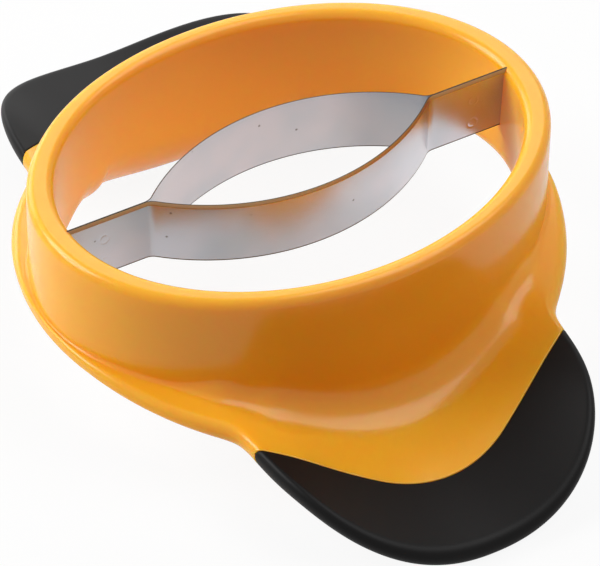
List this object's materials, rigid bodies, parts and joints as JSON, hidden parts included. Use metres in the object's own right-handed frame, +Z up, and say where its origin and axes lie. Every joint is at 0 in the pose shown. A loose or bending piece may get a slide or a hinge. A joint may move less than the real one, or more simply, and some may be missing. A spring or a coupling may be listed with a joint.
{
  "type": "mango slicer",
  "caption": "Oval press-down mango slicer with bowed steel blades that clear the pit and wing handles with soft grips; rigid, stands on its handle side.",
  "frame": {"origin": "on the surface that the slicer stands on, under the middle of the ring", "axes": "+Z up, from the resting plane to the rim and the cutting edges; +X from the middle of the ring to the tip of the front wing; +Y along the blades"},
  "size_m": [0.1992, 0.136, 0.051],
  "materials": {
    "orange_plastic": "gloss moulded",
    "blade_steel": "rolled strip, ground edge",
    "soft_grip": "satin soft-touch moulded"
  },
  "bodies": {
    "root": {"frame": "orange_plastic", "blade_front": "blade_steel", "blade_back": "blade_steel", "grip_front": "soft_grip", "grip_back": "soft_grip"}
  },
  "joints": []
}
